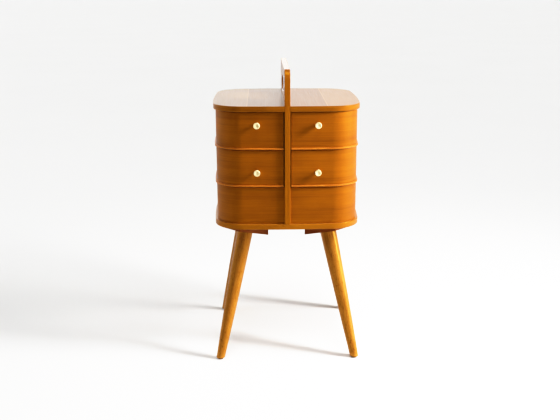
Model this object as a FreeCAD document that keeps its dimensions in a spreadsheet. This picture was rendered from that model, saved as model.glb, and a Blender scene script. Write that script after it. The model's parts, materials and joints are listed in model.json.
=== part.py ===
import FreeCAD, Part
import os

import Sketcher

# Sewing box on four splayed legs, in millimetres.
# A rounded square body is split in two by an upright panel that ends in a carrying handle.
# Each half holds a fixed open bin at the bottom and two trays above it.  The trays turn
# outward about a steel rod in the rear outer corner, under a fixed top board.
# Frame: origin on the floor under the middle of the body, +Z up, front towards -Y.
# The right-hand pieces are drawn, and the left-hand ones are their mirror images.

SIZES = {
    # Plan of the body, measured on the boards.
    "body_width": 320,
    "side_bow": 8.3,
    "corner_radius": 65,
    # Heights.
    "base_height": 301.5,
    "board_thick": 12,
    "tier_height": 80,
    "running_gap": 1,
    "top_thick": 12,
    "board_round": 1.5,
    # Upright panel and its handle.
    "panel_thick": 12,
    "panel_rise": 74.5,
    "handle_corner": 20,
    "panel_round": 1.2,
    "slot_length": 110,
    "slot_height": 32,
    "slot_below_top": 29,
    "slot_round": 2.5,
    # Trays and bins.
    "wall_inset": 5,
    "wall_thick": 5,
    "wall_lip_round": 1,
    "inner_side_thick": 5,
    "bottom_thick": 4,
    "ledge_proud": 3,
    "ledge_round": 1.2,
    "panel_gap": 2,
    "inner_corner": 22,
    # Pivots.
    "rod_dia": 8,
    "rod_seat": 9,
    "rod_reach": 8,
    "rod_from_edge": 20,
    "block_reach": 14,
    "washer_dia": 18,
    "washer_play": 0.1,
    # Knobs and their screws.
    "knob_dia": 13.5,
    "knob_length": 12.5,
    "knob_rim_depth": 4.5,
    "knob_neck_dia": 7.5,
    "knob_neck_length": 4.5,
    "knob_dish_dia": 9.5,
    "knob_dish_depth": 1.6,
    "knob_round": 1,
    "knob_from_panel": 58,
    "upper_knob_height": 52.2,
    "middle_knob_height": 31.8,
    "knob_screw_dia": 4,
    "knob_screw_bite": 8,
    "knob_screw_head_dia": 8,
    "knob_screw_head_height": 2.4,
    # Legs and the wedge blocks that carry them.
    "leg_from_edge": 67.5,
    "leg_splay": 16.3,
    "leg_top_dia": 35.2,
    "leg_foot_dia": 18.3,
    "leg_belly": 0.9,
    "leg_spare": 1,
    "leg_edge": 0.8,
    "leg_block_length": 90,
    "leg_block_width": 60,
    "leg_block_mid": 21,
    "leg_block_round": 3,
    "leg_bolt_dia": 8,
    "bolt_in_leg": 34,
    "bolt_in_block": 15,
    "bolt_end_gap": 1,
    "glide_dia": 12,
    "glide_height": 4,
    "glide_round": 1.5,
    "nail_dia": 2.4,
    "nail_length": 16,
    # Wood screws and dowels.
    "screw_dia": 4,
    "screw_head_dia": 8,
    "screw_point": 3,
    "block_screw_spread": 32,
    "block_screw_seat": 9,
    "block_screw_head_height": 2.4,
    "block_screw_bite": 8,
    "panel_screw_inset": 32.5,
    "panel_screw_length": 45,
    "dowel_dia": 6,
    "dowel_length": 40,
    "dowel_inset": 50,
    # Clearances.
    "running_fit": 0.05,
    "snug_fit": 0.05,
    "screw_recess": 0.3,
}

# Values worked out from the sizes, each a formula in the second sheet.
CALCULATIONS = {
    # The four bowed sides are arcs centred on the X and Y axes, side_centre from the origin.
    "side_radius": "(Size.body_width / 2)^2 / (2 * Size.side_bow)",
    "side_centre": "side_radius - Size.body_width / 2",
    # A corner arc touches both neighbouring sides, so its centre lies on the diagonal.
    "corner_at": "(-side_centre + sqrt(2 * (side_radius - Size.corner_radius)^2 - side_centre^2)) / 2",
    # The rods stand on the same diagonals, rod_from_edge inside the boards' rounded corners.
    "pivot_at": "corner_at + (Size.corner_radius - Size.rod_from_edge) / sqrt(2)",
    "base_top": "Size.base_height + Size.board_thick",
    "tray_height": "Size.tier_height - Size.running_gap",
    "middle_floor": "base_top + Size.tier_height + Size.running_gap",
    "upper_floor": "middle_floor + Size.tier_height",
    "top_board_floor": "upper_floor + tray_height + Size.running_gap",
    "top_face": "top_board_floor + Size.top_thick",
    "panel_height": "top_face + Size.panel_rise - base_top",
    "panel_side": "Size.panel_thick / 2",
    "tray_inner": "panel_side + Size.panel_gap",
    "wall_inner_inset": "Size.wall_inset + Size.wall_thick",
    "ledge_inset": "Size.wall_inset - Size.ledge_proud",
    # The rear inner corner of a tray, where its bent wall ends against the inner side.
    "inner_corner_at": "-side_centre + sqrt((side_radius - Size.wall_inset - Size.inner_corner)^2"
                       " - (tray_inner + Size.inner_corner)^2)",
    "inner_side_front": "side_centre - sqrt((side_radius - wall_inner_inset)^2"
                        " - (tray_inner + Size.inner_side_thick)^2)",
    "panel_screw_step": "(Size.body_width - 2 * Size.panel_screw_inset) / 3",
    "dowel_step": "Size.body_width / 2 - Size.dowel_inset",
    # A knob stands square to the bowed front wall.
    "knob_at": "panel_side + Size.knob_from_panel",
    "knob_tilt": "asin(knob_at / (side_radius - Size.wall_inset)) / 1 deg",
    "knob_seat": "side_centre - sqrt((side_radius - Size.wall_inset)^2 - knob_at^2)",
    "leg_at": "Size.body_width / 2 - Size.leg_from_edge",
    "leg_top": "Size.base_height - Size.leg_block_mid",
    "leg_length": "(leg_top - Size.glide_height) / cos(Size.leg_splay)",
    "leg_blank": "leg_length + Size.leg_foot_dia / 2 * tan(Size.leg_splay) + Size.leg_spare",
    # A leg swells by leg_belly at mid-length over a straight taper, along one long arc.
    "leg_chord": "sqrt((leg_blank - Size.leg_edge)^2 + ((Size.leg_top_dia - Size.leg_foot_dia) / 2)^2)",
    "leg_bow": "(leg_chord^2 / 4 + Size.leg_belly^2) / (2 * Size.leg_belly)",
    "foot_at": "leg_at + leg_length * sin(Size.leg_splay) / sqrt(2)",
    "block_rise": "Size.leg_block_length / 2 * tan(Size.leg_splay)",
    "screw_step": "Size.block_screw_spread / sqrt(2)",
}

SIDES = {"left": -1, "right": 1}
ENDS = {"front": -1, "rear": 1}

# Lengths closer than this count as equal when edges are chosen.
CLOSE = 1e-4

document = FreeCAD.newDocument("sewing_box")
sub_parts = {}


def fill_sheet(name, cells):
    """A sheet with one named cell per row."""
    sheet = document.addObject("Spreadsheet::Sheet", name)
    for row, (alias, content) in enumerate(cells.items(), start=1):
        sheet.set("A%d" % row, alias)
        sheet.set("B%d" % row, content)
        sheet.setAlias("B%d" % row, alias)
    document.recompute()
    return sheet


size_sheet = fill_sheet("Size", {alias: str(number) for alias, number in SIZES.items()})
calc_sheet = fill_sheet("Calc", {alias: "=" + rule for alias, rule in CALCULATIONS.items()})


def number(rule):
    """The present value of an expression."""
    value = calc_sheet.evalExpression(rule)
    return float(getattr(value, "Value", value))


# Bodies, sketches and features.

def new_body(name, height="0"):
    """An empty body whose own floor lies at the given height."""
    body = document.addObject("PartDesign::Body", name)
    body.setExpression("Placement.Base.z", height)
    return body


def origin_feature(body, role):
    return next(feature for feature in body.Origin.OriginFeatures if feature.Role == role)


def new_sketch(body, plane="XY_Plane", offset="0"):
    """An empty sketch on one of the body's own planes, moved along the plane's normal."""
    sketch = body.newObject("Sketcher::SketchObject", body.Name + "_sketch")
    sketch.AttachmentSupport = [(origin_feature(body, plane), "")]
    sketch.MapMode = "FlatFace"
    sketch.setExpression("AttachmentOffset.Base.z", offset)
    return sketch


def bind(sketch, kind, *places, rule):
    """A dimension of the sketch, held by an expression."""
    index = sketch.addConstraint(Sketcher.Constraint(kind, *places, number(rule)))
    sketch.setExpression("Constraints[%d]" % index, rule)


def hold_point(sketch, curve, point, across, along):
    """Holds one point of a curve at its distances from the sketch's origin."""
    bind(sketch, "DistanceX", -1, 1, curve, point, rule=across)
    bind(sketch, "DistanceY", -1, 1, curve, point, rule=along)


def add_circle(sketch, across, along, diameter):
    centre = FreeCAD.Vector(number(across), number(along), 0)
    normal = FreeCAD.Vector(0, 0, 1)
    curve = sketch.addGeometry(Part.Circle(centre, normal, number(diameter) / 2))
    bind(sketch, "Diameter", curve, rule=diameter)
    hold_point(sketch, curve, 3, across, along)


def add_polygon(sketch, corners, bowed=None, bow_radius=None):
    """A closed outline, anticlockwise; each corner is a pair of expressions.

    The sides are straight, but with bowed, the one that leaves that corner is an outward arc.
    """
    points = [FreeCAD.Vector(number(across), number(along), 0) for across, along in corners]
    sides = [Part.LineSegment(start, end) for start, end in zip(points, points[1:] + points[:1])]
    if bow_radius:
        start = points[bowed]
        half = (points[bowed + 1] - start) * 0.5
        depth = (number(bow_radius) ** 2 - half.Length**2) ** 0.5
        inward = FreeCAD.Vector(-half.y, half.x, 0).normalize()
        sides[bowed] = arc_through(start + half + inward * depth, start, points[bowed + 1])
    curves = sketch.addGeometry(sides)
    if bow_radius:
        bind(sketch, "Radius", curves[bowed], rule=bow_radius)
    for curve, (across, along) in zip(curves, corners):
        hold_point(sketch, curve, 1, across, along)
    for curve, following in zip(curves, curves[1:] + curves[:1]):
        sketch.addConstraint(Sketcher.Constraint("Coincident", curve, 2, following, 1))


def arc_through(centre, start, end):
    """The arc that runs anticlockwise about the centre, from one direction to another."""
    radius = (start - centre).Length
    circle = Part.Circle(centre, FreeCAD.Vector(0, 0, 1), radius)
    return Part.ArcOfCircle(circle, circle.parameter(start), circle.parameter(end))


def toward(centre, target, radius):
    """The point at the given radius from the centre, on the line to the target."""
    return centre + (target - centre).normalize() * radius


def add_half_outline(sketch, inset, inner, corner=None):
    """The right half of the body's plan, closed along a line beside the panel.

    The outline runs inside the boards' edge by inset, and its straight inner line
    is at inner from the middle.  With corner, the rear inner corner is that round.
    """
    side = number("Calc.side_radius - (%s)" % inset)
    bend = number("Size.corner_radius - (%s)" % inset)
    centre = number("Calc.side_centre")
    place = number("Calc.corner_at")
    line_at = number(inner)
    front_hub = FreeCAD.Vector(0, centre, 0)
    side_hub = FreeCAD.Vector(-centre, 0, 0)
    rear_hub = FreeCAD.Vector(0, -centre, 0)
    front_bend = FreeCAD.Vector(place, -place, 0)
    rear_bend = FreeCAD.Vector(place, place, 0)
    reach = (side**2 - line_at**2) ** 0.5 - centre
    front_start = FreeCAD.Vector(line_at, -reach, 0)
    rear_end = FreeCAD.Vector(line_at, reach, 0)
    line_end = rear_end
    if corner:
        round_off = number(corner)
        hub_at = line_at + round_off
        hub = FreeCAD.Vector(hub_at, ((side - round_off) ** 2 - hub_at**2) ** 0.5 - centre, 0)
        rear_end = toward(rear_hub, hub, side)
        line_end = FreeCAD.Vector(line_at, hub.y, 0)
    front_touch = toward(front_hub, front_bend, side)
    side_low = toward(side_hub, front_bend, side)
    side_high = toward(side_hub, rear_bend, side)
    rear_touch = toward(rear_hub, rear_bend, side)
    front, first_bend, outer, second_bend, rear = sketch.addGeometry([
        arc_through(front_hub, front_start, front_touch),
        arc_through(front_bend, front_touch, side_low),
        arc_through(side_hub, side_low, side_high),
        arc_through(rear_bend, side_high, rear_touch),
        arc_through(rear_hub, rear_touch, rear_end),
    ])
    line = sketch.addGeometry(Part.LineSegment(line_end, front_start))
    bends = ((front, first_bend), (first_bend, outer), (outer, second_bend), (second_bend, rear))
    for before, after in bends:
        sketch.addConstraint(Sketcher.Constraint("Tangent", before, 2, after, 1))
    sketch.addConstraint(Sketcher.Constraint("Coincident", line, 2, front, 1))
    if corner:
        turn = sketch.addGeometry(arc_through(hub, rear_end, line_end))
        sketch.addConstraint(Sketcher.Constraint("Tangent", rear, 2, turn, 1))
        sketch.addConstraint(Sketcher.Constraint("Tangent", turn, 2, line, 1))
        bind(sketch, "Radius", turn, rule=corner)
    else:
        sketch.addConstraint(Sketcher.Constraint("Coincident", rear, 2, line, 1))
    sketch.addConstraint(Sketcher.Constraint("Vertical", line))
    bind(sketch, "DistanceX", -1, 1, line, 2, rule=inner)
    hold_point(sketch, front, 3, "0", "Calc.side_centre")
    hold_point(sketch, outer, 3, "-Calc.side_centre", "0")
    hold_point(sketch, rear, 3, "0", "-Calc.side_centre")
    for curve in (front, outer, rear):
        bind(sketch, "Radius", curve, rule="Calc.side_radius - (%s)" % inset)
    for curve in (first_bend, second_bend):
        bind(sketch, "Radius", curve, rule="Size.corner_radius - (%s)" % inset)


def pad(body, sketch, length, symmetric=False):
    feature = body.newObject("PartDesign::Pad", body.Name + "_pad")
    feature.Profile = sketch
    feature.Midplane = symmetric
    feature.setExpression("Length", length)
    document.recompute()
    return feature


def pocket(body, sketch, depth=None, upward=False, symmetric=False):
    """Cuts the sketch down into the body, or up along the normal; right through without depth."""
    before = body.Shape.Volume
    feature = body.newObject("PartDesign::Pocket", body.Name + "_pocket")
    feature.Profile = sketch
    feature.Reversed = upward
    feature.Midplane = symmetric
    if depth:
        feature.setExpression("Length", depth)
    else:
        feature.Type = "ThroughAll"
    document.recompute()
    if body.Shape.Volume >= before:
        raise RuntimeError("%s cuts nothing" % feature.Name)
    return feature


def turn(body, corners, plane="XZ_Plane", bowed=None, bow_radius=None):
    """A solid of revolution about the sketch's own upright axis."""
    sketch = new_sketch(body, plane)
    add_polygon(sketch, corners, bowed, bow_radius)
    feature = body.newObject("PartDesign::Revolution", body.Name + "_turning")
    feature.Profile = sketch
    feature.ReferenceAxis = (sketch, ["V_Axis"])
    feature.Angle = 360
    document.recompute()
    return feature


def round_edges(body, chosen, radius):
    """Rounds the edges of the body's last feature that the test chooses."""
    base = body.Tip
    names = ["Edge%d" % (place + 1) for place, edge in enumerate(base.Shape.Edges) if chosen(edge)]
    feature = body.newObject("PartDesign::Fillet", body.Name + "_round")
    feature.Base = (base, names)
    feature.setExpression("Radius", radius)
    document.recompute()
    return feature


def keep(name, item):
    """Makes an object one of the box's named sub-parts."""
    item.Label = name
    sub_parts[name] = item
    return item


def mirror(name, item):
    """The left-hand twin of a right-hand piece."""
    twin = document.addObject("Part::Mirroring", name)
    twin.Source = item
    twin.Normal = (1, 0, 0)
    return keep(name, twin)


def keep_pair(name, item):
    keep(name + "_right", item)
    mirror(name + "_left", item)


def keep_group(name, items):
    """Identical fasteners, kept together as separate solids."""
    group = document.addObject("Part::Compound", name)
    group.Links = items
    return keep(name, group)


def lies_flat(edge, height):
    """True for an edge that lies wholly at one height above the body's floor."""
    box = edge.BoundBox
    return abs(box.ZMin - height) < CLOSE and abs(box.ZMax - height) < CLOSE


def is_upright(edge):
    box = edge.BoundBox
    return box.XLength < CLOSE and box.YLength < CLOSE


def is_arc(edge):
    return isinstance(edge.Curve, Part.Circle)


# Boards and panel.

def make_base_board():
    body = new_body("base_board", "Size.base_height")
    outline = new_sketch(body)
    add_half_outline(outline, "0", "0")
    half = pad(body, outline, "Size.board_thick")
    whole = body.newObject("PartDesign::Mirrored", "base_board_mirrored")
    whole.Originals = [half]
    whole.MirrorPlane = (origin_feature(body, "YZ_Plane"), [""])
    body.Tip = whole
    document.recompute()
    round_edges(body, lambda edge: not is_upright(edge), "Size.board_round")
    rods = new_sketch(body, offset="Size.board_thick")
    for side in SIDES.values():
        add_circle(rods, "%d * Calc.pivot_at" % side, "Calc.pivot_at", "Size.rod_dia + 2 * Size.snug_fit")
    pocket(body, rods, "Size.rod_seat")
    pilots = new_sketch(body)
    for across, along in block_screw_places():
        add_circle(pilots, across, along, "Size.screw_dia + 2 * Size.snug_fit")
    pocket(body, pilots, "Size.block_screw_bite + Size.snug_fit", upward=True)
    heads = new_sketch(body)
    for along in panel_screw_places():
        add_circle(heads, "0", along, "Size.screw_dia + 2 * Size.snug_fit")
    holes = body.newObject("PartDesign::Hole", "base_board_holes")
    holes.Profile = heads
    holes.Reversed = True
    holes.DepthType = "ThroughAll"
    holes.HoleCutType = "Countersink"
    holes.HoleCutCountersinkAngle = 90
    holes.setExpression("Diameter", "Size.screw_dia + 2 * Size.snug_fit")
    holes.setExpression("HoleCutDiameter", "Size.screw_head_dia + 2 * (Size.screw_recess + Size.snug_fit)")
    document.recompute()
    keep("base_board", body)


def panel_screw_places():
    return ["%g * Calc.panel_screw_step" % step for step in (-1.5, -0.5, 0.5, 1.5)]


def dowel_places():
    return ["%d * Calc.dowel_step" % step for step in (-1, 0, 1)]


def make_handle_panel():
    body = new_body("handle_panel", "Calc.base_top")
    face = new_sketch(body, "YZ_Plane")
    half_depth = "Size.body_width / 2"
    add_polygon(face, [
        ("-" + half_depth, "0"), (half_depth, "0"),
        (half_depth, "Calc.panel_height"), ("-" + half_depth, "Calc.panel_height"),
    ])
    pad(body, face, "Size.panel_thick", symmetric=True)
    height = number("Calc.panel_height")
    round_edges(body, lambda edge: lies_flat(edge, height) and edge.BoundBox.YLength < CLOSE,
                "Size.handle_corner")
    side = number("Calc.panel_side")
    round_edges(body, lambda edge: abs(abs(edge.CenterOfMass.x) - side) < CLOSE
                and not lies_flat(edge, 0), "Size.panel_round")
    slot = new_sketch(body, "YZ_Plane")
    add_slot(slot)
    pocket(body, slot, symmetric=True)
    slot_low = number("Calc.panel_height - Size.slot_below_top - Size.slot_height")
    slot_reach = number("Size.slot_length / 2")
    round_edges(body, lambda edge: edge.BoundBox.ZMin > slot_low - CLOSE and edge.BoundBox.XLength < CLOSE
                and edge.BoundBox.YMax < slot_reach + CLOSE and edge.BoundBox.YMin > -slot_reach - CLOSE
                and edge.BoundBox.ZMax < height - CLOSE, "Size.slot_round")
    dowels = new_sketch(body, "YZ_Plane")
    for along in dowel_places():
        add_circle(dowels, along, "Calc.top_face - Size.top_thick / 2 - Calc.base_top",
                   "Size.dowel_dia + 2 * Size.snug_fit")
    pocket(body, dowels, symmetric=True)
    pilots = new_sketch(body)
    for along in panel_screw_places():
        add_circle(pilots, "0", along, "Size.screw_dia + 2 * Size.snug_fit")
    pocket(body, pilots, "Size.panel_screw_length + Size.screw_recess - Size.board_thick + Size.snug_fit",
           upward=True)
    keep("handle_panel", body)


def add_slot(sketch):
    """The finger slot: two half circles joined by straight lines."""
    middle = number("Calc.panel_height - Size.slot_below_top - Size.slot_height / 2")
    radius = number("Size.slot_height / 2")
    reach = number("Size.slot_length / 2") - radius
    rear_hub = FreeCAD.Vector(reach, middle, 0)
    front_hub = FreeCAD.Vector(-reach, middle, 0)
    rise = FreeCAD.Vector(0, radius, 0)
    rear, front = sketch.addGeometry([
        arc_through(rear_hub, rear_hub - rise, rear_hub + rise),
        arc_through(front_hub, front_hub + rise, front_hub - rise),
    ])
    upper, lower = sketch.addGeometry([
        Part.LineSegment(rear_hub + rise, front_hub + rise),
        Part.LineSegment(front_hub - rise, rear_hub - rise),
    ])
    for before, after in ((rear, upper), (upper, front), (front, lower), (lower, rear)):
        sketch.addConstraint(Sketcher.Constraint("Tangent", before, 2, after, 1))
    centre_height = "Calc.panel_height - Size.slot_below_top - Size.slot_height / 2"
    hold_point(sketch, rear, 3, "(Size.slot_length - Size.slot_height) / 2", centre_height)
    bind(sketch, "DistanceX", -1, 1, front, 3, rule="-(Size.slot_length - Size.slot_height) / 2")
    bind(sketch, "Radius", rear, rule="Size.slot_height / 2")


def make_top_board():
    body = new_body("top_board", "Calc.top_board_floor")
    outline = new_sketch(body)
    add_half_outline(outline, "0", "Calc.panel_side")
    pad(body, outline, "Size.top_thick")
    round_edges(body, is_arc, "Size.board_round")
    rod = new_sketch(body)
    add_circle(rod, "Calc.pivot_at", "Calc.pivot_at", "Size.rod_dia + 2 * Size.snug_fit")
    pocket(body, rod, "Size.rod_reach + Size.snug_fit", upward=True)
    dowels = new_sketch(body, "YZ_Plane", "Calc.panel_side")
    for along in dowel_places():
        add_circle(dowels, along, "Size.top_thick / 2", "Size.dowel_dia + 2 * Size.snug_fit")
    pocket(body, dowels, "(Size.dowel_length - Size.panel_thick) / 2 + Size.snug_fit", upward=True)
    keep_pair("top_board", body)


def make_top_dowels():
    dowels = []
    for along in dowel_places():
        body = new_body("dowel", "Calc.top_face - Size.top_thick / 2")
        end = new_sketch(body, "YZ_Plane")
        add_circle(end, along, "0", "Size.dowel_dia")
        pad(body, end, "Size.dowel_length", symmetric=True)
        dowels.append(body)
    keep_group("top_board_dowels", dowels)


# Bins and trays.

def add_shell(body, inner, opened_to, height, floor="0", corner=None, inner_round=None):
    """A bent wall that follows the body's plan, left open on the side by the panel."""
    outside = new_sketch(body, offset=floor)
    add_half_outline(outside, "Size.wall_inset", inner, corner)
    pad(body, outside, height)
    inside = new_sketch(body, offset="%s + %s" % (floor, height))
    add_half_outline(inside, "Calc.wall_inner_inset", opened_to, inner_round)
    pocket(body, inside)


def round_lip(body, height):
    """Softens the long edges of a wall's upper rim."""
    rim = number(height)
    shortest = number("Size.wall_thick")
    round_edges(body, lambda edge: lies_flat(edge, rim) and is_arc(edge) and edge.Length > shortest,
                "Size.wall_lip_round")


def make_bin_wall():
    body = new_body("bin_wall", "Calc.base_top")
    add_shell(body, "Calc.panel_side", "Calc.panel_side - Size.wall_thick", "Size.tier_height")
    round_lip(body, "Size.tier_height")
    keep_pair("bin_wall", body)


def add_corner_block(body, height, floor="0"):
    """A glue block that fills the rear outer corner and is bored for the rod."""
    sketch = new_sketch(body, offset=floor)
    flat = "Calc.pivot_at - Size.block_reach"
    bend = "Size.corner_radius - Calc.wall_inner_inset"
    near = number(flat)
    radius = number(bend)
    hub = FreeCAD.Vector(number("Calc.corner_at"), number("Calc.corner_at"), 0)
    far = hub.x + (radius**2 - (near - hub.x) ** 2) ** 0.5
    corner = FreeCAD.Vector(near, near, 0)
    right = FreeCAD.Vector(far, near, 0)
    rear = FreeCAD.Vector(near, far, 0)
    front_face = sketch.addGeometry(Part.LineSegment(corner, right))
    curve = sketch.addGeometry(arc_through(hub, right, rear))
    inner_face = sketch.addGeometry(Part.LineSegment(rear, corner))
    for before, after in ((front_face, curve), (curve, inner_face), (inner_face, front_face)):
        sketch.addConstraint(Sketcher.Constraint("Coincident", before, 2, after, 1))
    sketch.addConstraint(Sketcher.Constraint("Horizontal", front_face))
    sketch.addConstraint(Sketcher.Constraint("Vertical", inner_face))
    hold_point(sketch, front_face, 1, flat, flat)
    hold_point(sketch, curve, 3, "Calc.corner_at", "Calc.corner_at")
    bind(sketch, "Radius", curve, rule=bend)
    pad(body, sketch, height)


def bore_for_rod(body, fit, top):
    bore = new_sketch(body, offset=top)
    add_circle(bore, "Calc.pivot_at", "Calc.pivot_at", "Size.rod_dia + 2 * Size.%s" % fit)
    pocket(body, bore)


def make_bin_block():
    body = new_body("bin_pivot_block", "Calc.base_top")
    add_corner_block(body, "Size.tier_height")
    bore_for_rod(body, "snug_fit", "Size.tier_height")
    keep_pair("bin_pivot_block", body)


def make_tray(level, floor, knob_height):
    """One right-hand tray and its left-hand twin, on their own floor level."""
    wall_height = "Calc.tray_height - Size.bottom_thick"

    wall = new_body(level + "_wall", floor)
    add_shell(wall, "Calc.tray_inner", "Calc.tray_inner + Size.wall_thick", wall_height,
              "Size.bottom_thick", "Size.inner_corner", "Size.inner_corner - Size.wall_thick")
    seat = new_sketch(wall, offset="Calc.tray_height")
    add_polygon(seat, inner_side_corners("Calc.tray_inner + Size.wall_thick"))
    pocket(wall, seat)
    round_lip(wall, "Calc.tray_height")
    hole = wall.newObject("PartDesign::SubtractiveCylinder", level + "_knob_hole")
    hole.setExpression("Radius", "Size.knob_screw_dia / 2 + Size.snug_fit")
    hole.setExpression("Height", "4 * Size.wall_thick")
    hole.setExpression(
        "Placement",
        "placement(vector(0; Calc.side_centre; %s); rotation(vector(0; 0; 1); Calc.knob_tilt))"
        " * placement(vector(0; -Calc.side_radius + Calc.wall_inner_inset + Size.wall_thick; 0);"
        " rotation(vector(1; 0; 0); 90))" % knob_height)
    document.recompute()
    keep_pair(level + "_tray_wall", wall)

    side = new_body(level + "_inner_side", floor)
    plan = new_sketch(side, offset="Size.bottom_thick")
    add_polygon(plan, inner_side_corners("Calc.tray_inner + Size.inner_side_thick"))
    pad(side, plan, wall_height)
    keep_pair(level + "_tray_inner_side", side)

    bottom = new_body(level + "_bottom", floor)
    outline = new_sketch(bottom)
    add_half_outline(outline, "Calc.ledge_inset", "Calc.tray_inner", "Size.inner_corner + Size.ledge_proud")
    pad(bottom, outline, "Size.bottom_thick")
    round_edges(bottom, is_arc, "Size.ledge_round")
    bore_for_rod(bottom, "running_fit", "Size.bottom_thick")
    keep_pair(level + "_tray_bottom", bottom)

    block = new_body(level + "_block", floor)
    add_corner_block(block, wall_height, "Size.bottom_thick")
    bore_for_rod(block, "running_fit", "Calc.tray_height")
    keep_pair(level + "_tray_pivot_block", block)

    keep_pair(level + "_tray_knob", stand_on_wall(make_knob(), floor, knob_height))
    keep_pair(level + "_tray_knob_screw", stand_on_wall(make_knob_screw(), floor, knob_height))


def inner_side_corners(far):
    """Plan of a tray's inner side, from the front wall to the rear inner corner."""
    return [
        ("Calc.tray_inner", "Calc.inner_side_front"), (far, "Calc.inner_side_front"),
        (far, "Calc.inner_corner_at"), ("Calc.tray_inner", "Calc.inner_corner_at"),
    ]


def stand_on_wall(body, floor, height):
    """Seats a knob or its screw on the front wall, square to the bow."""
    body.setExpression(
        "Placement",
        "placement(vector(Calc.knob_at; Calc.knob_seat; %s + %s);"
        " rotation(vector(0; 0; 1); Calc.knob_tilt))" % (floor, height))
    document.recompute()
    return body


def make_knob():
    """A turned knob that points along -Y, with a dished face and a blind threaded hole."""
    body = document.addObject("PartDesign::Body", "knob")
    hole = "Size.knob_screw_dia / 2 + Size.snug_fit"
    neck = "Size.knob_neck_dia / 2"
    head = "Size.knob_dia / 2"
    dish = "Size.knob_dish_dia / 2"
    bite = "-(Size.knob_screw_bite + Size.bolt_end_gap)"
    tip = "-Size.knob_length"
    turn(body, [
        (hole, "0"), (neck, "0"), (neck, "-Size.knob_neck_length"),
        (head, "-(Size.knob_length - Size.knob_rim_depth)"), (head, tip), (dish, tip),
        ("0", "-(Size.knob_length - Size.knob_dish_depth)"), ("0", bite), (hole, bite),
    ], "XY_Plane")
    radius = number(head) - CLOSE
    round_edges(body, lambda edge: edge.BoundBox.XMax > radius and is_arc(edge)
                and edge.BoundBox.YLength < CLOSE, "Size.knob_round")
    return body


def make_knob_screw():
    """A machine screw whose head bears on the inner face of the wall."""
    body = document.addObject("PartDesign::Body", "knob_screw")
    head_top = "Size.wall_thick + Size.knob_screw_head_height"
    shank = "Size.knob_screw_dia / 2"
    head = "Size.knob_screw_head_dia / 2"
    turn(body, [
        ("0", head_top), (head, head_top), (head, "Size.wall_thick"), (shank, "Size.wall_thick"),
        (shank, "-Size.knob_screw_bite"), ("0", "-Size.knob_screw_bite"),
    ], "XY_Plane")
    return body


# Pivots.

def make_pivot_rod():
    rod = document.addObject("Part::Cylinder", "pivot_rod")
    rod.setExpression("Radius", "Size.rod_dia / 2")
    rod.setExpression("Height", "Calc.top_board_floor + Size.rod_reach - Calc.base_top + Size.rod_seat")
    rod.setExpression("Placement.Base.x", "Calc.pivot_at")
    rod.setExpression("Placement.Base.y", "Calc.pivot_at")
    rod.setExpression("Placement.Base.z", "Calc.base_top - Size.rod_seat")
    document.recompute()
    keep_pair("pivot_rod", rod)


def make_pivot_washers():
    """One washer under each turning tray and one under each top board."""
    washers = []
    for floor in ("Calc.middle_floor", "Calc.upper_floor", "Calc.top_board_floor"):
        for side in SIDES.values():
            body = new_body("washer", floor + " - Size.running_gap")
            ring = new_sketch(body)
            across = "%d * Calc.pivot_at" % side
            add_circle(ring, across, "Calc.pivot_at", "Size.washer_dia")
            add_circle(ring, across, "Calc.pivot_at", "Size.rod_dia + 2 * Size.snug_fit")
            pad(body, ring, "Size.running_gap - Size.washer_play")
            washers.append(body)
    keep_group("pivot_washers", washers)


# Legs, their blocks and the hardware under the base.

def block_screw_places():
    """Both screws of every leg block, spread along the diagonal through the leg's top."""
    places = []
    for side in SIDES.values():
        for end in ENDS.values():
            for step in ("- Calc.screw_step", "+ Calc.screw_step"):
                reach = "(Calc.leg_at %s)" % step
                places.append(("%d * %s" % (side, reach), "%d * %s" % (end, reach)))
    return places


def put_on_leg_axis(body, side, end):
    """Puts the body's origin at the leg's top, with its own Z up along the splayed axis."""
    body.setExpression(
        "Placement",
        "placement(vector(%d * Calc.leg_at; %d * Calc.leg_at; Calc.leg_top);"
        " rotation(vector(%d; %d; 0); Size.leg_splay))" % (side, end, end, -side))
    document.recompute()


def make_leg_block(name, side, end):
    """A wedge under the base whose sloping face is square to the leg."""
    body = document.addObject("PartDesign::Body", name)
    profile = new_sketch(body, "XZ_Plane")
    half = "Size.leg_block_length / 2"
    add_polygon(profile, [
        ("-" + half, "0"), ("-" + half, "-(Size.leg_block_mid + Calc.block_rise)"),
        (half, "-(Size.leg_block_mid - Calc.block_rise)"), (half, "0"),
    ])
    pad(body, profile, "Size.leg_block_width", symmetric=True)
    round_edges(body, is_upright, "Size.leg_block_round")
    bolt = body.newObject("PartDesign::SubtractiveCylinder", name + "_bolt_hole")
    bolt.setExpression("Radius", "Size.leg_bolt_dia / 2 + Size.snug_fit")
    bolt.setExpression("Height", "2 * (Size.bolt_in_block + Size.bolt_end_gap)")
    bolt.setExpression(
        "Placement",
        "placement(vector(0; 0; -Size.leg_block_mid); rotation(vector(0; 1; 0); -Size.leg_splay))"
        " * placement(vector(0; 0; -Size.bolt_in_block - Size.bolt_end_gap); rotation(vector(0; 0; 1); 0))")
    document.recompute()
    shanks = new_sketch(body)
    heads = new_sketch(body, offset="-Size.block_screw_seat")
    for step in ("-", ""):
        across = step + "Size.block_screw_spread"
        add_circle(shanks, across, "0", "Size.screw_dia + 2 * Size.snug_fit")
        add_circle(heads, across, "0", "Size.screw_head_dia + 2 * Size.screw_recess")
    pocket(body, shanks)
    pocket(body, heads)
    quarter = {(1, 1): 45, (-1, 1): 135, (-1, -1): 225, (1, -1): 315}[side, end]
    body.setExpression(
        "Placement",
        "placement(vector(%d * Calc.leg_at; %d * Calc.leg_at; Size.base_height);"
        " rotation(vector(0; 0; 1); %d))" % (side, end, quarter))
    document.recompute()
    return body


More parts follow.
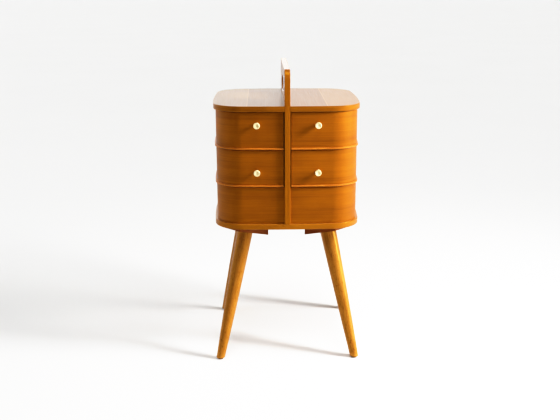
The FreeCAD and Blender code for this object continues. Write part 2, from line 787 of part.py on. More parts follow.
def make_leg(name, side, end):
    """A turned leg with a gently swelling taper, cut level at the foot, bored for bolt and nail."""
    blank = document.addObject("PartDesign::Body", name + "_blank")
    bolt = "Size.leg_bolt_dia / 2 + Size.snug_fit"
    bolt_end = "-(Size.bolt_in_leg + Size.bolt_end_gap)"
    top = "Size.leg_top_dia / 2"
    turn(blank, [
        ("0", "-Calc.leg_blank"), ("Size.leg_foot_dia / 2", "-Calc.leg_blank"),
        (top, "-Size.leg_edge"), (top + " - Size.leg_edge", "0"),
        (bolt, "0"), (bolt, bolt_end), ("0", bolt_end),
    ], bowed=1, bow_radius="Calc.leg_bow")
    put_on_leg_axis(blank, side, end)

    ground = document.addObject("Part::Box", name + "_ground")
    ground.setExpression("Length", "Size.body_width")
    ground.setExpression("Width", "Size.body_width")
    ground.setExpression("Height", "Size.base_height")
    ground.setExpression(
        "Placement",
        "placement(vector(%d * Calc.foot_at - Size.body_width / 2; %d * Calc.foot_at - Size.body_width / 2;"
        " Size.glide_height - Size.base_height); rotation(vector(0; 0; 1); 0))" % (side, end))
    nail = document.addObject("Part::Cylinder", name + "_nail_hole")
    nail.setExpression("Radius", "Size.nail_dia / 2 + Size.snug_fit")
    nail.setExpression("Height", "Size.glide_height + Size.nail_length + Size.snug_fit")
    nail.setExpression("Placement.Base.x", "%d * Calc.foot_at" % side)
    nail.setExpression("Placement.Base.y", "%d * Calc.foot_at" % end)
    waste = document.addObject("Part::MultiFuse", name + "_waste")
    waste.Shapes = [ground, nail]
    leg = document.addObject("Part::Cut", name + "_cut")
    leg.Base = blank
    leg.Tool = waste
    document.recompute()
    return leg


def make_leg_bolt(side, end):
    """A hanger bolt, half in the leg and half in its block."""
    body = document.addObject("PartDesign::Body", "leg_bolt")
    section = new_sketch(body, offset="-Size.bolt_in_leg")
    add_circle(section, "0", "0", "Size.leg_bolt_dia")
    pad(body, section, "Size.bolt_in_leg + Size.bolt_in_block")
    put_on_leg_axis(body, side, end)
    return body


def make_glide(side, end):
    """A round nail glide under the foot."""
    body = document.addObject("PartDesign::Body", "glide")
    nail = "Size.nail_dia / 2"
    rim = "Size.glide_dia / 2"
    nail_end = "Size.glide_height + Size.nail_length"
    turn(body, [
        ("0", "0"), (rim, "0"), (rim, "Size.glide_height"), (nail, "Size.glide_height"),
        (nail, nail_end), ("0", nail_end),
    ])
    round_edges(body, lambda edge: is_arc(edge) and lies_flat(edge, 0), "Size.glide_round")
    body.setExpression("Placement.Base.x", "%d * Calc.foot_at" % side)
    body.setExpression("Placement.Base.y", "%d * Calc.foot_at" % end)
    document.recompute()
    return body


def make_wood_screw(across, along, head_floor, head, length):
    """An upright wood screw; head lists the corners between its middle and its shank."""
    body = document.addObject("PartDesign::Body", "wood_screw")
    shank = "Size.screw_dia / 2"
    turn(body, [("0", "0")] + head + [(shank, "%s - Size.screw_point" % length), ("0", length)])
    body.setExpression("Placement.Base.x", across)
    body.setExpression("Placement.Base.y", along)
    body.setExpression("Placement.Base.z", head_floor)
    document.recompute()
    return body


def make_wood_screws():
    shank = "Size.screw_dia / 2"
    rim = "Size.screw_head_dia / 2"
    countersunk = [(rim, "0"), (shank, "%s - %s" % (rim, shank))]
    cheese = [(rim, "0"), (rim, "Size.block_screw_head_height"), (shank, "Size.block_screw_head_height")]
    keep_group("panel_screws", [
        make_wood_screw("0", along, "Size.base_height + Size.screw_recess", countersunk,
                        "Size.panel_screw_length")
        for along in panel_screw_places()
    ])
    keep_group("leg_block_screws", [
        make_wood_screw(across, along,
                        "Size.base_height - Size.block_screw_seat - Size.block_screw_head_height",
                        cheese,
                        "Size.block_screw_seat + Size.block_screw_head_height + Size.block_screw_bite")
        for across, along in block_screw_places()
    ])


def make_legs():
    bolts = []
    glides = []
    for end_name, end in ENDS.items():
        for side_name, side in SIDES.items():
            corner = "%s_%s" % (end_name, side_name)
            keep("leg_block_" + corner, make_leg_block("leg_block_" + corner, side, end))
            keep("leg_" + corner, make_leg("leg_" + corner, side, end))
            bolts.append(make_leg_bolt(side, end))
            glides.append(make_glide(side, end))
    keep_group("leg_bolts", bolts)
    keep_group("foot_glides", glides)


def check_objects():
    """Stops on any object that failed, and on any sub-part without a valid solid."""
    for item in document.Objects:
        if "Invalid" in item.State or "Error" in item.State:
            raise RuntimeError("%s failed: %s" % (item.Name, item.State))
    for name, item in sub_parts.items():
        if item.Shape.isNull() or not item.Shape.isValid() or not item.Shape.Solids:
            raise RuntimeError("%s has no valid solid" % name)


make_base_board()
make_handle_panel()
make_top_board()
make_top_dowels()
make_bin_wall()
make_bin_block()
make_tray("middle", "Calc.middle_floor", "Size.middle_knob_height")
make_tray("upper", "Calc.upper_floor", "Size.upper_knob_height")
make_pivot_rod()
make_pivot_washers()
make_legs()
make_wood_screws()
document.recompute()
check_objects()

os.makedirs("parts", exist_ok=True)
for name, item in sub_parts.items():
    item.Shape.exportStep("parts/%s.step" % name)
print("%d sub-parts written" % len(sub_parts))
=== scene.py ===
import json
import math

import bpy
from mathutils import Matrix, Vector

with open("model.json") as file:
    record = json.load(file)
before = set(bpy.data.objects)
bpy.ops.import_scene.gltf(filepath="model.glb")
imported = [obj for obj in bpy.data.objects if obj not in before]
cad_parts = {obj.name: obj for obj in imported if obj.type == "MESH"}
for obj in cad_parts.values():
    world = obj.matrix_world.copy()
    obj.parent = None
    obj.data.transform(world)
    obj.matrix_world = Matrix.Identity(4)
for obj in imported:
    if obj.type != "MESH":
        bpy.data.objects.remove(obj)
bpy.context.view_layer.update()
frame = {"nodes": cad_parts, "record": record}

# Looks of the sewing box: lacquered veneers, turned beech, cream knobs and plain steel.
# Lengths are metres unless a name or comment says millimetres; the frame is the box's own.

MM = 0.001

# Plan of the body, in millimetres, for patterns that follow its outline.
BODY_HALF = 160
SIDE_BOW = 8.3
CORNER_RADIUS = 65
WALL_INSET = 5
SIDE_RADIUS = BODY_HALF**2 / (2 * SIDE_BOW)
SIDE_CENTRE = SIDE_RADIUS - BODY_HALF
CORNER_REACH = math.sqrt(2 * (SIDE_RADIUS - CORNER_RADIUS) ** 2 - SIDE_CENTRE**2)
CORNER_AT = (CORNER_REACH - SIDE_CENTRE) / 2

# Other places in the box, in millimetres from its middle or the floor.
LEAF_JOINT_AT = 84
TRAY_BOTTOM_UNDERSIDE = 394.5
TRAY_SIDE_FACE = 8
KNOCKS_HEIGHT = (130, 60)
RUBBED_HEIGHT = (14, 3)

LEG_SPLAY = math.radians(16.3)


def linear(code):
    """The linear colour of an sRGB hex code."""
    channels = [int(code[place:place + 2], 16) / 255 for place in (1, 3, 5)]
    return [c / 12.92 if c <= 0.04045 else ((c + 0.055) / 1.055) ** 2.4 for c in channels] + [1]


# Nodes and patterns.

# The Mix node's sockets share their names, so they go by number.
SHARE = 0
NUMBER_A, NUMBER_B, MIXED_NUMBER = 2, 3, 0
COLOUR_A, COLOUR_B, MIXED_COLOUR = 6, 7, 2

# A soft pattern stays mostly between these two values.
PATTERN_LOW, PATTERN_HIGH = 0.3, 0.7


def add(tree, kind, inputs=(), **settings):
    """Adds a node with its settings, sets or links its inputs, and gives its outputs.

    Inputs come in the order of the node's sockets, or by a socket's name or number.
    """
    made = tree.nodes.new("ShaderNode" + kind)
    for name, value in settings.items():
        setattr(made, name, value)
    sockets = inputs.items() if isinstance(inputs, dict) else enumerate(inputs)
    for socket, value in sockets:
        if isinstance(value, bpy.types.NodeSocket):
            tree.links.new(value, made.inputs[socket])
        else:
            made.inputs[socket].default_value = value
    return made.outputs


def empty_tree(owner):
    """The node tree of a material or a world, with nothing in it."""
    owner.use_nodes = True
    owner.node_tree.nodes.clear()
    return owner.node_tree


def coat(tree, even, colour, pattern, roughness, relief=None, depth_mm=0.0):
    """Lays a finish on: its shader, and the output that the shader goes to.

    even holds what is the same all over. Roughness runs between its two ends as the pattern
    does, and the surface rises by the depth as the relief goes from 0 to 1.
    """
    inputs = {**even, "Base Color": colour}
    spread = (pattern, PATTERN_LOW, PATTERN_HIGH, *roughness)
    inputs["Roughness"] = add(tree, "MapRange", spread)["Result"]
    if relief is not None:
        height = {"Strength": 1.0, "Distance": depth_mm * MM, "Height": relief}
        inputs["Normal"] = add(tree, "Bump", height)["Normal"]
    surface = add(tree, "BsdfPrincipled", inputs)["BSDF"]
    add(tree, "OutputMaterial", {"Surface": surface})


def place_in_mm(tree):
    """The point on the piece, in millimetres in the box's frame."""
    place = add(tree, "TexCoord")["Object"]
    return add(tree, "VectorMath", {0: place, "Scale": 1 / MM}, operation="SCALE")["Vector"]


def mottle(tree, place, size_mm, detail=2.0, rough=0.5):
    """A soft pattern whose marks are about as long as the size along each axis."""
    steps = (place, [1 / size for size in size_mm])
    measured = add(tree, "VectorMath", steps, operation="MULTIPLY")["Vector"]
    grade = {"Vector": measured, "Scale": 1.0, "Detail": detail, "Roughness": rough}
    return add(tree, "TexNoise", grade)["Fac"]


def sum_of_products(tree, *pairs):
    """Each pair multiplied, such as a value and its weight, and the results added up."""
    total = None
    for pair in pairs:
        product = add(tree, "Math", pair, operation="MULTIPLY")[0]
        if total is not None:
            product = add(tree, "Math", (total, product), operation="ADD")[0]
        total = product
    return total


def lay_over(tree, tone, code, mask, strength):
    """The tone with another colour laid over it, at the strength where the mask is 1."""
    share = add(tree, "Math", (mask, strength), operation="MULTIPLY")[0]
    colours = {SHARE: share, COLOUR_A: tone, COLOUR_B: linear(code)}
    return add(tree, "Mix", colours, data_type="RGBA")[MIXED_COLOUR]


def squareness(tree, axis):
    """How squarely the surface faces along an axis of the box: 1 square on, 0 edge on."""
    facing = add(tree, "SeparateXYZ", (add(tree, "TexCoord")["Normal"],))[axis]
    return add(tree, "Math", (facing,), operation="ABSOLUTE")[0]


def worn_edges(tree, radius_mm):
    """About 1 on rounded edges and 0 on flat faces."""
    straight = add(tree, "NewGeometry")["Normal"]
    eased = add(tree, "Bevel", {"Radius": radius_mm * MM}, samples=4)["Normal"]
    match = add(tree, "VectorMath", (straight, eased), operation="DOT_PRODUCT")["Value"]
    flat, rounded = 0.995, 0.9
    return add(tree, "MapRange", (match, flat, rounded))["Result"]


def depth_in_plan(tree, place):
    """How far a point lies inside the boards' rounded outline, in millimetres."""
    folded = add(tree, "VectorMath", (place,), operation="ABSOLUTE")["Vector"]
    plan = add(tree, "SeparateXYZ", (folded,))
    arcs = ((SIDE_CENTRE, 0, SIDE_RADIUS), (0, SIDE_CENTRE, SIDE_RADIUS),
            (-CORNER_AT, -CORNER_AT, CORNER_RADIUS))
    depths = []
    for shift_x, shift_y, radius in arcs:
        across = add(tree, "Math", (plan["X"], shift_x), operation="ADD")[0]
        along = add(tree, "Math", (plan["Y"], shift_y), operation="ADD")[0]
        squares = sum_of_products(tree, (across, across), (along, along))
        reach = add(tree, "Math", (squares,), operation="SQRT")[0]
        depths.append(add(tree, "Math", (radius, reach), operation="SUBTRACT")[0])
    past = [add(tree, "Math", (plan[axis], CORNER_AT), operation="GREATER_THAN")[0]
            for axis in "XY"]
    in_corner = add(tree, "Math", past, operation="MULTIPLY")[0]
    by_side = add(tree, "Math", depths[:2], operation="MINIMUM")[0]
    numbers = {SHARE: in_corner, NUMBER_A: by_side, NUMBER_B: depths[2]}
    return add(tree, "Mix", numbers, data_type="FLOAT")[MIXED_NUMBER]


# Wood finishes.

# Wood fibres throw light back through the lacquer, which turns it amber. At a low angle the
# lacquer itself mirrors plain white. The tint of the head-on reflection stands for the first.
AMBER = {"IOR": 1.5, "Specular Tint": linear("#FFBE00")}

# Share of each layer in the figure of a wood, and how long its cloudy patches are.
BANDS, STREAKS, CLOUD = 0.3, 0.4, 0.3
CLOUD_MM = 45

# The figure's values between which its colour goes from dark to light.
FIGURE_DARK, FIGURE_LIGHT = 0.35, 0.65

# The soft pattern's value goes up by this much from a pore's rim to its full depth.
PORE_RIM = 0.08

# How much longer a pattern is along the grain, on each axis, for each way the grain runs.
LEVEL_ALL_ROUND = (60, 60, 1)
FRONT_TO_BACK = (1, 60, 60)
UPRIGHT = (1, 1, 60)


def wood_tone(tree, place, run, dark, light, band_mm, streak_mm):
    """The colour of straight-grained wood, and the fine streaks alone.

    run stretches a pattern along the grain on each axis: 1 across the grain, more along it.
    band_mm is the width of the figure's broad bands, and streak_mm of its growth rings.
    """
    bands = mottle(tree, place, [band_mm * r for r in run])
    streaks = mottle(tree, place, [streak_mm * r for r in run], detail=4, rough=0.7)
    cloud = mottle(tree, place, [CLOUD_MM * min(r, 2) for r in run])
    figure = sum_of_products(tree, (bands, BANDS), (streaks, STREAKS), (cloud, CLOUD))
    share = add(tree, "MapRange", (figure, FIGURE_DARK, FIGURE_LIGHT))["Result"]
    colours = {SHARE: share, COLOUR_A: linear(dark), COLOUR_B: linear(light)}
    return add(tree, "Mix", colours, data_type="RGBA")[MIXED_COLOUR], streaks


def pores(tree, place, run, width_mm, lowest=0.63):
    """Short open pores along the grain: 1 inside a pore."""
    speckle = mottle(tree, place, [width_mm * r for r in run], detail=1)
    return add(tree, "MapRange", (speckle, lowest, lowest + PORE_RIM))["Result"]


def ply_layers(tree, depth, ply_mm, dark, light, blur):
    """The colours of plies, dark and pale by turns, at a depth in millimetres.

    blur is the share of a ply, on each side of a seam, over which its colour turns.
    """
    turn = add(tree, "Math", (depth, ply_mm), operation="PINGPONG")[0]
    seam = ((0.5 - blur) * ply_mm, (0.5 + blur) * ply_mm)
    share = add(tree, "MapRange", (turn, *seam))["Result"]
    colours = {SHARE: share, COLOUR_A: linear(light), COLOUR_B: linear(dark)}
    return add(tree, "Mix", colours, data_type="RGBA")[MIXED_COLOUR]


def bent_veneer():
    """Cherry veneer on bent plywood under satin amber lacquer.

    The grain runs level round the corners, so it reads as fine flat streaks; the rims show
    the plies, pale and dark by turns.
    """
    material = bpy.data.materials.new("Satin lacquered cherry veneer on bent ply")
    tree = empty_tree(material)
    place = place_in_mm(tree)
    tone, streaks = wood_tone(tree, place, LEVEL_ALL_ROUND, "#784410", "#9E6014", 8, 1.6)
    # Real pores are 0.1 mm high, too fine to show, so they are drawn 0.5 mm high.
    pore = pores(tree, place, (24, 24, 1), 0.5)
    tone = lay_over(tree, tone, "#6E2E04", pore, 0.35)
    inside = add(tree, "Math", (depth_in_plan(tree, place), WALL_INSET), operation="SUBTRACT")[0]
    plies = ply_layers(tree, inside, 1.0, "#7A4318", "#A9713A", blur=0.08)
    rim = add(tree, "MapRange", (squareness(tree, "Z"), 0.6, 0.9))["Result"]
    colours = {SHARE: rim, COLOUR_A: tone, COLOUR_B: plies}
    tone = add(tree, "Mix", colours, data_type="RGBA")[MIXED_COLOUR]
    tone = lay_over(tree, tone, "#C88C3C", worn_edges(tree, 0.8), 0.3)
    relief = add(tree, "Math", (streaks, pore), operation="SUBTRACT")[0]
    coat(tree, AMBER, tone, streaks, (0.39, 0.52), relief, 0.03)
    return material


def board_veneer(name, run, dark, light, rough, leaf_at=None, lipping=None):
    """Cherry veneer on a flat board under satin amber lacquer, with lightly worn edges.

    It gives straight fine grain under a soft sheen that turns pale at a low angle. The pores
    are drawn 0.5 mm wide, as on the bent walls.

    With leaf_at, two veneer leaves meet there in a thin joint on the flat faces and differ
    a little in tone. A lipping, given as its wood_tone, covers the edges of a level board,
    and its grain runs level.
    """
    material = bpy.data.materials.new(name)
    tree = empty_tree(material)
    place = place_in_mm(tree)
    if leaf_at:
        side = add(tree, "SeparateXYZ", (place,))["X"]
        across = add(tree, "Math", (side,), operation="ABSOLUTE")[0]
        leaf = add(tree, "Math", (across, leaf_at), operation="GREATER_THAN")[0]
        # The outer leaf is cut from another place of the sheet, in millimetres.
        along_sheet = add(tree, "Math", (leaf, 310.0), operation="MULTIPLY")[0]
        shift = add(tree, "CombineXYZ", {"X": along_sheet})["Vector"]
        place = add(tree, "VectorMath", (place, shift), operation="ADD")["Vector"]
    tone, streaks = wood_tone(tree, place, run, dark, light, 8, 1.4)
    pore = pores(tree, place, [max(r * 0.4, 1) for r in run], 0.5)
    tone = lay_over(tree, tone, "#5E2804", pore, 0.35)
    if leaf_at:
        tone = lay_over(tree, tone, "#B08656", leaf, 0.25)
        gap = add(tree, "Math", (across, leaf_at), operation="SUBTRACT")[0]
        from_joint = add(tree, "Math", (gap,), operation="ABSOLUTE")[0]
        joint = add(tree, "MapRange", (from_joint, 0.9, 0.3))["Result"]
        tone = lay_over(tree, tone, "#D8AC74", joint, 0.35)
    if lipping:
        edge_tone = wood_tone(tree, place_in_mm(tree), LEVEL_ALL_ROUND, *lipping)[0]
        edge = add(tree, "MapRange", (squareness(tree, "Z"), 0.9, 0.6))["Result"]
        colours = {SHARE: edge, COLOUR_A: tone, COLOUR_B: edge_tone}
        tone = add(tree, "Mix", colours, data_type="RGBA")[MIXED_COLOUR]
    tone = lay_over(tree, tone, "#B87828", worn_edges(tree, 1.2), 0.25)
    relief = add(tree, "Math", (streaks, pore), operation="SUBTRACT")[0]
    coat(tree, AMBER, tone, streaks, (rough - 0.03, rough + 0.04), relief, 0.02)
    return material


def ply_board(name, through, run, dark, light, ply_mm, first_face, rough):
    """Thin lacquered plywood: a plain face with straight grain, and plies along the edge.

    through is the axis across the board's thickness, and first_face is where on it, in
    millimetres from the box's middle or the floor, the first face of the board lies.
    """
    material = bpy.data.materials.new(name)
    tree = empty_tree(material)
    place = place_in_mm(tree)
    tone, streaks = wood_tone(tree, place, run, dark, light, 10, 1.8)
    side = add(tree, "SeparateXYZ", (place,))[through]
    folded = add(tree, "Math", (side,), operation="ABSOLUTE")[0]
    depth = add(tree, "Math", (folded, first_face), operation="SUBTRACT")[0]
    plies = ply_layers(tree, depth, ply_mm, "#8E5118", "#C58238", blur=0.1)
    edge = add(tree, "MapRange", (squareness(tree, through), 0.75, 0.4))["Result"]
    colours = {SHARE: edge, COLOUR_A: tone, COLOUR_B: plies}
    tone = add(tree, "Mix", colours, data_type="RGBA")[MIXED_COLOUR]
    coat(tree, AMBER, tone, streaks, (rough - 0.04, rough + 0.05), streaks, 0.02)
    return material


def turned_beech():
    """Turned beech under glossier amber lacquer.

    The grain runs down each leg with the short dark flecks of beech, and the lacquer is
    rubbed pale round the foot.
    """
    material = bpy.data.materials.new("Turned beech with amber lacquer")
    tree = empty_tree(material)
    box_place = add(tree, "SeparateXYZ", (place_in_mm(tree),))
    # The four legs are mirror images, so folding the plan gives them one axis; each leg is
    # then cut from a place of its own in the wood.
    folded, own = {"Z": box_place["Z"]}, {}
    for axis, wood_step in (("X", 211.0), ("Y", 307.0)):
        folded[axis] = add(tree, "Math", (box_place[axis],), operation="ABSOLUTE")[0]
        side = add(tree, "Math", (box_place[axis],), operation="SIGN")[0]
        own[axis] = add(tree, "Math", (side, wood_step), operation="MULTIPLY")[0]
    leg_place = add(tree, "CombineXYZ", folded)["Vector"]
    lean = {"Vector": leg_place, "Axis": (1, -1, 0), "Angle": -LEG_SPLAY}
    upright = add(tree, "VectorRotate", lean)["Vector"]
    shift = add(tree, "CombineXYZ", own)["Vector"]
    place = add(tree, "VectorMath", (upright, shift), operation="ADD")["Vector"]
    tone, streaks = wood_tone(tree, place, (1, 1, 25), "#86581E", "#B47E38", 6, 1.0)
    # Beech flecks are 0.5 mm wide, too fine to show, so they are drawn 1.6 mm wide.
    fleck = pores(tree, place, (1, 1, 3), 1.6, 0.6)
    tone = lay_over(tree, tone, "#6E3608", fleck, 0.5)
    # Small knocks, which the lower ends of the legs get.
    spots = add(tree, "MapRange", (mottle(tree, place, (5, 5, 8), detail=1), 0.66, 0.7))["Result"]
    low_down = add(tree, "MapRange", (box_place["Z"], *KNOCKS_HEIGHT))["Result"]
    knock = add(tree, "Math", (spots, low_down), operation="MULTIPLY")[0]
    tone = lay_over(tree, tone, "#5E2E08", knock, 0.5)
    rubbed = add(tree, "MapRange", (box_place["Z"], *RUBBED_HEIGHT))["Result"]
    tone = lay_over(tree, tone, "#DDA050", rubbed, 0.3)
    relief = add(tree, "Math", (streaks, fleck), operation="SUBTRACT")[0]
    coat(tree, AMBER, tone, streaks, (0.24, 0.33), relief, 0.02)
    return material


def stained_block():
    """Glue blocks and leg wedges: planed beech, stained dark and only thinly lacquered.

    They look dull and reddish beside the lacquered boards, so they stay in the background.
    """
    material = bpy.data.materials.new("Dark stained beech")
    tree = empty_tree(material)
    place = place_in_mm(tree)
    tone, streaks = wood_tone(tree, place, (20, 20, 1), "#6A3210", "#8A4A1C", 8, 1.6)
    coat(tree, AMBER, tone, streaks, (0.45, 0.6), streaks, 0.04)
    return material


# Plastic and metal finishes.

def cream_plastic():
    """Moulded cream plastic, slightly yellowed and glossy, with painted shade darkening the dish.
    """
    material = bpy.data.materials.new("Moulded cream plastic")
    tree = empty_tree(material)
    cloud = mottle(tree, place_in_mm(tree), (3, 3, 3))
    colours = {SHARE: cloud, COLOUR_A: linear("#E4CF98"), COLOUR_B: linear("#EEDCAE")}
    tone = add(tree, "Mix", colours, data_type="RGBA")[MIXED_COLOUR]
    # Painted shade: the dish turns olive where the ambient-occlusion node finds it hidden.
    openness = add(tree, "AmbientOcclusion", {"Distance": 3 * MM}, samples=8)["AO"]
    painted_dish_shade = add(tree, "MapRange", (openness, 0.9, 0.5))["Result"]
    tone = lay_over(tree, tone, "#9C8A52", painted_dish_shade, 0.6)
    coat(tree, {"IOR": 1.5}, tone, cloud, (0.2, 0.3))
    return material


def plain_plastic(name, dark, light, rough):
    """Moulded plastic of one colour, with a fine grain of 0.3 mm that dulls its shine."""
    material = bpy.data.materials.new(name)
    tree = empty_tree(material)
    grain = mottle(tree, place_in_mm(tree), (0.3, 0.3, 0.3))
    colours = {SHARE: grain, COLOUR_A: linear(dark), COLOUR_B: linear(light)}
    tone = add(tree, "Mix", colours, data_type="RGBA")[MIXED_COLOUR]
    coat(tree, {"IOR": 1.5}, tone, grain, (rough - 0.05, rough + 0.05), grain, 0.01)
    return material


def drawn_steel(name, dark, light, mark_mm, rough):
    """Steel whose surface marks break its highlight up.

    Marks left by a drawing die are under 0.1 mm wide, too fine to show, so they are drawn
    0.5 mm wide and long down the rod. Zinc plate is faintly cloudy instead.
    """
    material = bpy.data.materials.new(name)
    tree = empty_tree(material)
    marks = mottle(tree, place_in_mm(tree), mark_mm, detail=3, rough=0.6)
    colours = {SHARE: marks, COLOUR_A: linear(dark), COLOUR_B: linear(light)}
    tone = add(tree, "Mix", colours, data_type="RGBA")[MIXED_COLOUR]
    coat(tree, {"Metallic": 1.0}, tone, marks, (rough - 0.06, rough + 0.08), marks, 0.005)
    return material


def make_finishes():
    """Every finish, by the record's material slot."""
    return {
        "bent_ply_veneer": bent_veneer(),
        # The grain of level boards runs front to back, and the panel's runs upright.
        "top_veneer": board_veneer(
            "Satin lacquered cherry veneer, two leaves", FRONT_TO_BACK, "#6A461E", "#7C5430",
            rough=0.306, leaf_at=LEAF_JOINT_AT, lipping=("#7A4810", "#9C641A", 4, 1.0)),
        "panel_veneer": board_veneer(
            "Satin lacquered cherry veneer, upright", UPRIGHT, "#885112", "#A36717",
            rough=0.2),
        "base_veneer": board_veneer(
            "Satin lacquered cherry veneer, level", FRONT_TO_BACK, "#855214", "#A46A1E",
            rough=0.3, lipping=("#855214", "#A46A1E", 8, 1.4)),
        # Bottoms are 4 mm thick in plies of 1 mm, and sides 5 mm in plies of 1.25 mm; each
        # face veneer is half as thick. The grain runs front to back on both.
        "tray_bottom_ply": ply_board(
            "Lacquered birch ply", "Z", (1, 40, 40), "#A35C18", "#C07A2A",
            ply_mm=1.0, first_face=TRAY_BOTTOM_UNDERSIDE, rough=0.36),
        "tray_side_ply": ply_board(
            "Lacquered ply side", "X", (40, 40, 1), "#8C5416", "#AA6E20",
            ply_mm=1.25, first_face=TRAY_SIDE_FACE, rough=0.36),
        "leg_beech": turned_beech(),
        "block_beech": stained_block(),
        "knob_plastic": cream_plastic(),
        "glide_plastic": plain_plastic("Dark brown moulded plastic", "#24160F", "#3A2519", 0.5),
        "washer_nylon": plain_plastic("Natural nylon", "#D8D4C6", "#E8E4D8", 0.45),
        "bright_steel": drawn_steel(
            "Bright drawn steel", "#8F8F8C", "#B4B4B0", (0.5, 0.5, 20), rough=0.28),
        "zinc_plated_steel": drawn_steel(
            "Zinc plated steel", "#86867E", "#AEAEA6", (2, 2, 2), rough=0.38),
    }


def dress_nodes(finishes):
    """Gives every node of the box the finish of its material slot."""
    for entry in frame["record"]["subparts"]:
        piece = frame["nodes"][entry["node"]]
        piece.data.materials.clear()
        piece.data.materials.append(finishes[entry["material_slot"]])


# Stage, lights and camera.

CAMERA_PLACE = (-54.6 * MM, -1909.9 * MM, 809.3 * MM)
CAMERA_YAW = 0.022
CAMERA_PITCH = 0.259
CAMERA_ROLL = 0.003
CAMERA_LENS = 54.64
SENSOR_WIDTH = 36

FLOOR_REACH = 80.0
FLOOR_PATCH_MM = 900

LIGHTS_AIM = Vector((0, 0, 0.35))

# Strengths of the studio round the box. A way of 1 is straight towards the wall, the ceiling
# or the softbox, and each range of ways goes from where a thing starts to where it is full.
WALL_WAY = {"X": -0.72, "Y": 0.69}
WALL_STRENGTH = 3.0
WALL_TOP = (0.55, 0.38)
CEILING_RANGE = (0.6, 0.85)
CEILING_STRENGTH = 0.1
SOFTBOX_WAY = {"Z": 0.966, "Y": -0.26}
SOFTBOX_RANGE = (0.92, 0.96)
SOFTBOX_ENDS = (0.18, 0.1)
SOFTBOX_STRENGTH = 8.5
FRONT_STRENGTH = 0.05
SEEN_STRENGTH = 1.1

# The tone curve: the brightest light that prints as white, and light against printed tone.
BRIGHTEST = 1.45
TONE_CURVE = ((0.05, 0.022), (0.1, 0.056), (0.18, 0.125), (0.25, 0.19), (0.35, 0.305),
              (0.5, 0.48), (0.8, 0.81), (0.95, 0.92))


def make_camera():
    data = bpy.data.cameras.new("Camera")
    data.lens = CAMERA_LENS
    data.sensor_width = SENSOR_WIDTH
    camera = bpy.data.objects.new("Camera", data)
    yaw = Matrix.Rotation(-CAMERA_YAW, 4, "Z")
    pitch = Matrix.Rotation(math.pi / 2 - CAMERA_PITCH, 4, "X")
    roll = Matrix.Rotation(-CAMERA_ROLL, 4, "Z")
    camera.matrix_world = Matrix.Translation(CAMERA_PLACE) @ (yaw @ pitch) @ roll
    bpy.context.scene.collection.objects.link(camera)
    bpy.context.scene.camera = camera


def make_floor():
    """A wide pale floor of matt paper, which shows soft shadows and mirrors nothing."""
    mesh = bpy.data.meshes.new("floor")
    far = FLOOR_REACH
    corners = [(-far, -far, 0), (far, -far, 0), (far, far, 0), (-far, far, 0)]
    mesh.from_pydata(corners, [], [(0, 1, 2, 3)])
    floor = bpy.data.objects.new("floor", mesh)
    bpy.context.scene.collection.objects.link(floor)
    material = bpy.data.materials.new("Matt white paper")
    tree = empty_tree(material)
    patches = mottle(tree, place_in_mm(tree), [FLOOR_PATCH_MM] * 3)
    colours = {SHARE: patches, COLOUR_A: linear("#E9E9E8"), COLOUR_B: linear("#EDEDEC")}
    tone = add(tree, "Mix", colours, data_type="RGBA")[MIXED_COLOUR]
    paper = {"Roughness": 0.9, "Specular IOR Level": 0.1, "Base Color": tone}
    add(tree, "OutputMaterial", {"Surface": add(tree, "BsdfPrincipled", paper)["BSDF"]})
    mesh.materials.append(material)


def add_light(kind, azimuth, elevation, distance, **settings):
    """A light that faces the box; azimuth runs from the front towards the right, in degrees."""
    data = bpy.data.lights.new(kind, kind)
    for name, value in settings.items():
        setattr(data, name, value)
    light = bpy.data.objects.new(kind, data)
    across = math.radians(azimuth)
    up = math.radians(elevation)
    level = math.cos(up)
    away = Vector((math.sin(across) * level, -math.cos(across) * level, math.sin(up)))
    light.location = LIGHTS_AIM + away * distance
    light.rotation_euler = (-away).to_track_quat("-Z", "Y").to_euler()
    bpy.context.scene.collection.objects.link(light)


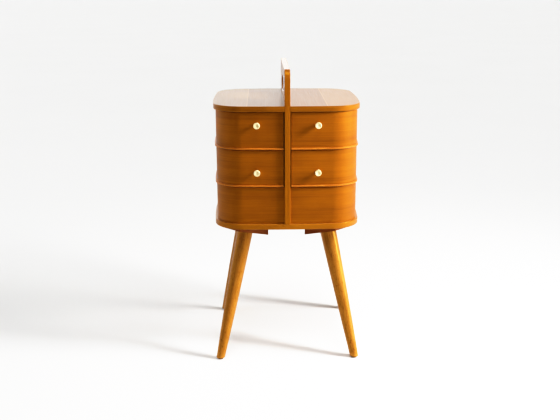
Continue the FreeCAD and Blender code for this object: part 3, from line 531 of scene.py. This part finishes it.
def make_world():
    """A studio: a bright low wall at the left rear, a strip softbox overhead, a dim front."""
    world = bpy.data.worlds.new("Studio")
    tree = empty_tree(world)
    way = add(tree, "SeparateXYZ", (add(tree, "TexCoord")["Generated"],))
    to_wall = sum_of_products(tree, *((way[axis], part) for axis, part in WALL_WAY.items()))
    beside = add(tree, "MapRange", (to_wall, 0.0, 1.0, 0.0, WALL_STRENGTH))["Result"]
    below_top = add(tree, "MapRange", (way["Z"], *WALL_TOP))["Result"]
    wall = add(tree, "Math", (beside, below_top), operation="MULTIPLY")[0]
    ceiling = add(tree, "MapRange", (way["Z"], *CEILING_RANGE, 0.0, CEILING_STRENGTH))["Result"]
    to_softbox = sum_of_products(tree, *((way[axis], part) for axis, part in SOFTBOX_WAY.items()))
    strip = add(tree, "MapRange", (to_softbox, *SOFTBOX_RANGE, 0.0, SOFTBOX_STRENGTH))["Result"]
    from_middle = add(tree, "Math", (way["X"],), operation="ABSOLUTE")[0]
    within_ends = add(tree, "MapRange", (from_middle, *SOFTBOX_ENDS))["Result"]
    softbox = add(tree, "Math", (strip, within_ends), operation="MULTIPLY")[0]
    bright = add(tree, "Math", (wall, softbox), operation="ADD")[0]
    dim = add(tree, "Math", (ceiling, FRONT_STRENGTH), operation="ADD")[0]
    lighting = add(tree, "Math", (bright, dim), operation="ADD")[0]
    # Seen directly, the studio is an even near-white on every side.
    seen = add(tree, "LightPath")["Is Camera Ray"]
    numbers = {SHARE: seen, NUMBER_A: lighting, NUMBER_B: SEEN_STRENGTH}
    strength = add(tree, "Mix", numbers, data_type="FLOAT")[MIXED_NUMBER]
    background = add(tree, "Background", {"Color": (1, 1, 1, 1), "Strength": strength})[0]
    add(tree, "OutputWorld", {"Surface": background})
    bpy.context.scene.world = world


def set_tone_curve():
    """A print-like tone curve: deeper shadows, and whites that roll off gently."""
    view = bpy.context.scene.view_settings
    view.view_transform = "Standard"
    view.use_curve_mapping = True
    mapping = view.curve_mapping
    mapping.white_level = (BRIGHTEST, BRIGHTEST, BRIGHTEST)
    # The fourth curve is the one for all three colours together.
    combined = mapping.curves[3]
    for light, printed in TONE_CURVE:
        combined.points.new(light / BRIGHTEST, printed)
    mapping.update()


def make_stage():
    make_camera()
    make_floor()
    make_world()
    # A wide, low window far to the right, and a small softbox that draws the knobs' shadows.
    add_light("SUN", azimuth=79, elevation=13, distance=3.0, angle=math.radians(24), energy=4.2)
    add_light("AREA", azimuth=68, elevation=31, distance=1.1, size=0.2, energy=16.0)
    set_tone_curve()


make_stage()
dress_nodes(make_finishes())
